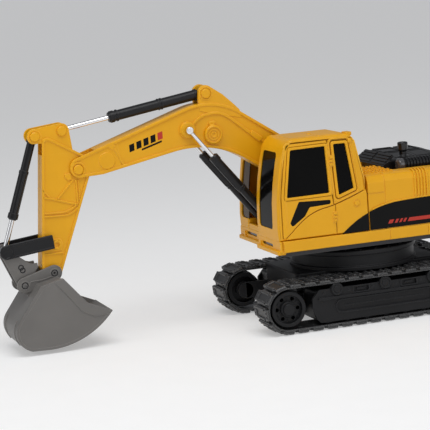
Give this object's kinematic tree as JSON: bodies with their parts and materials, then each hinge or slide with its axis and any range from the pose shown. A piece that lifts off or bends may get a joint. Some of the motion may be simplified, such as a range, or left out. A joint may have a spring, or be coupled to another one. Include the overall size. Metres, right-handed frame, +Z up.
{
  "type": "toy tracked excavator",
  "caption": "Toy tracked excavator with a slewing cab house, a boom, arm and bucket worked by telescoping cylinders, and fixed track belts over turning wheels.",
  "frame": {"origin": "on the ground, on the slewing axis of the house", "axes": "+X forward, towards the bucket; +Y to the cab side; +Z up; the rest pose is the one pictured"},
  "size_m": [0.3871, 0.124, 0.1881],
  "materials": {
    "yellow_plastic": "semi-gloss moulded ABS",
    "black_plastic": "satin black moulded plastic",
    "undercarriage_plastic": "matte dark grey moulded plastic",
    "track_rubber": "soft matte rubbery plastic",
    "dark_window": "polished smoked plastic",
    "grey_plastic": "satin dark grey plastic",
    "bucket_plastic": "satin warm grey plastic",
    "rod_chrome": "bright plated rod",
    "gear_plastic": "natural acetal",
    "steel": "plain zinc-plated steel",
    "board_green": "solder mask",
    "cell_blue": "shrink wrap",
    "switch_red": "moulded knob"
  },
  "bodies": {
    "undercarriage": {"chassis_top": "undercarriage_plastic", "chassis_bottom": "undercarriage_plastic", "battery_pack": "cell_blue", "battery_door": "undercarriage_plastic", "side_frame_left": "undercarriage_plastic", "side_frame_right": "undercarriage_plastic", "track_left": "track_rubber", "track_right": "track_rubber", "slew_ring_gear": "gear_plastic", "drive_gearboxes": "grey_plastic", "drive_motors": "steel", "chassis_screws": "steel"},
    "power_switch": {"power_switch": "switch_red"},
    "drive_wheel_left": {"drive_wheel_left": "undercarriage_plastic"},
    "drive_wheel_right": {"drive_wheel_right": "undercarriage_plastic"},
    "front_wheel_left": {"front_wheel_left": "undercarriage_plastic"},
    "front_wheel_right": {"front_wheel_right": "undercarriage_plastic"},
    "house": {"slew_plate": "grey_plastic", "house_tray": "yellow_plastic", "cab_shell": "yellow_plastic", "windscreen": "dark_window", "door_window": "dark_window", "quarter_window": "dark_window", "seat": "black_plastic", "control_console": "black_plastic", "right_module": "yellow_plastic", "module_window": "dark_window", "body_side_left": "yellow_plastic", "body_side_right": "yellow_plastic", "engine_deck": "yellow_plastic", "engine_hood": "black_plastic", "exhaust_stack": "dark_window", "air_cleaner": "grey_plastic", "counterweight": "yellow_plastic", "boom_foot_pin": "steel", "slew_motor": "steel", "boom_gearmotor": "grey_plastic", "circuit_board": "board_green", "house_screws": "steel"},
    "slew_pinion": {"slew_pinion": "gear_plastic"},
    "boom": {"boom_left": "yellow_plastic", "boom_right": "yellow_plastic", "boom_port_caps": "yellow_plastic", "boom_pins": "yellow_plastic", "arm_gearmotor": "grey_plastic"},
    "boom_rods": {"boom_cylinder_rods": "rod_chrome"},
    "boom_barrels": {"boom_cylinder_barrels": "black_plastic"},
    "arm": {"arm_left": "yellow_plastic", "arm_right": "yellow_plastic", "arm_head_plates": "yellow_plastic", "arm_pins": "yellow_plastic"},
    "arm_barrel": {"arm_cylinder_barrel": "black_plastic"},
    "arm_rod": {"arm_cylinder_rod": "rod_chrome"},
    "bucket": {"bucket": "bucket_plastic", "bucket_pin": "steel"},
    "rocker": {"rocker": "black_plastic", "rocker_pin": "steel"},
    "link": {"bucket_link": "bucket_plastic"},
    "bucket_rod": {"bucket_cylinder_rod": "rod_chrome"},
    "bucket_barrel": {"bucket_cylinder_barrel": "black_plastic"}
  },
  "joints": [
    {"name": "switch_slide", "type": "slide", "parent": "undercarriage", "child": "power_switch", "axis": [0, 1, 0], "range_m": [0, 0.0038]},
    {"name": "drive_left", "type": "hinge", "parent": "undercarriage", "child": "drive_wheel_left", "pos_m": [-0.0795, 0.048, 0.01925], "axis": [0, 1, 0], "continuous": true},
    {"name": "front_left", "type": "hinge", "parent": "undercarriage", "child": "front_wheel_left", "pos_m": [0.0795, 0.048, 0.01925], "axis": [0, 1, 0], "continuous": true},
    {"name": "drive_right", "type": "hinge", "parent": "undercarriage", "child": "drive_wheel_right", "pos_m": [-0.0795, -0.048, 0.01925], "axis": [0, 1, 0], "continuous": true},
    {"name": "front_right", "type": "hinge", "parent": "undercarriage", "child": "front_wheel_right", "pos_m": [0.0795, -0.048, 0.01925], "axis": [0, 1, 0], "continuous": true},
    {"name": "slew", "type": "hinge", "parent": "undercarriage", "child": "house", "pos_m": [0, 0, 0.0545], "axis": [0, 0, 1], "range_deg": [-170, 170]},
    {"name": "pinion_spin", "type": "hinge", "parent": "house", "child": "slew_pinion", "pos_m": [-0.0303, 0, 0.055], "axis": [0, 0, 1], "range_deg": [-690, 690]},
    {"name": "boom_lift", "type": "hinge", "parent": "house", "child": "boom", "pos_m": [0.02, -0.0135, 0.102], "axis": [0, -1, 0], "range_deg": [-15, 20]},
    {"name": "boom_rod_swing", "type": "hinge", "parent": "boom", "child": "boom_rods", "pos_m": [0.128, -0.0135, 0.155], "axis": [0, -1, 0], "range_deg": [-0.5, 0.5]},
    {"name": "boom_barrel_slide", "type": "slide", "parent": "boom_rods", "child": "boom_barrels", "axis": [-0.6261, 0, -0.7798], "range_m": [-0.0135, 0.018]},
    {"name": "arm_swing", "type": "hinge", "parent": "boom", "child": "arm", "pos_m": [0.2162, -0.0135, 0.1339], "axis": [0, -1, 0], "range_deg": [-25, 25]},
    {"name": "arm_cylinder_swing", "type": "hinge", "parent": "boom", "child": "arm_barrel", "pos_m": [0.1113, -0.0135, 0.1815], "axis": [0, -1, 0], "range_deg": [-1.5, 1.5]},
    {"name": "arm_rod_slide", "type": "slide", "parent": "arm_barrel", "child": "arm_rod", "axis": [0.9885, 0, -0.1515], "range_m": [-0.0136, 0.0136]},
    {"name": "bucket_curl", "type": "hinge", "parent": "arm", "child": "bucket", "pos_m": [0.2414, -0.0135, 0.0582], "axis": [0, -1, 0], "range_deg": [-25, 35]},
    {"name": "rocker_swing", "type": "hinge", "parent": "arm", "child": "rocker", "pos_m": [0.243, -0.0135, 0.0815], "axis": [0, -1, 0], "range_deg": [-20, 27.5]},
    {"name": "link_swing", "type": "hinge", "parent": "rocker", "child": "link", "pos_m": [0.276, -0.0135, 0.0778], "axis": [0, -1, 0], "range_deg": [-22.5, 16.5]},
    {"name": "bucket_rod_swing", "type": "hinge", "parent": "rocker", "child": "bucket_rod", "pos_m": [0.276, -0.0135, 0.0778], "axis": [0, -1, 0], "range_deg": [-23.5, 17]},
    {"name": "bucket_barrel_slide", "type": "slide", "parent": "bucket_rod", "child": "bucket_barrel", "axis": [-0.327, 0, 0.945], "range_m": [-0.0147, 0.0106]}
  ],
  "couplings": [
    {"joint": "front_left", "follows": "drive_left", "ratio": 1},
    {"joint": "front_right", "follows": "drive_right", "ratio": 1},
    {"joint": "pinion_spin", "follows": "slew", "ratio": 4},
    {"joint": "boom_rod_swing", "follows": "boom_lift", "ratio": 0.0116},
    {"joint": "boom_barrel_slide", "follows": "boom_lift", "m_per_rad": 0.050274},
    {"joint": "arm_cylinder_swing", "follows": "arm_swing", "ratio": 0.0441},
    {"joint": "arm_rod_slide", "follows": "arm_swing", "m_per_rad": -0.030417},
    {"joint": "rocker_swing", "follows": "bucket_curl", "ratio": 0.7645},
    {"joint": "link_swing", "follows": "bucket_curl", "ratio": -0.624},
    {"joint": "bucket_rod_swing", "follows": "bucket_curl", "ratio": -0.6545},
    {"joint": "bucket_barrel_slide", "follows": "bucket_curl", "m_per_rad": -0.023284}
  ]
}
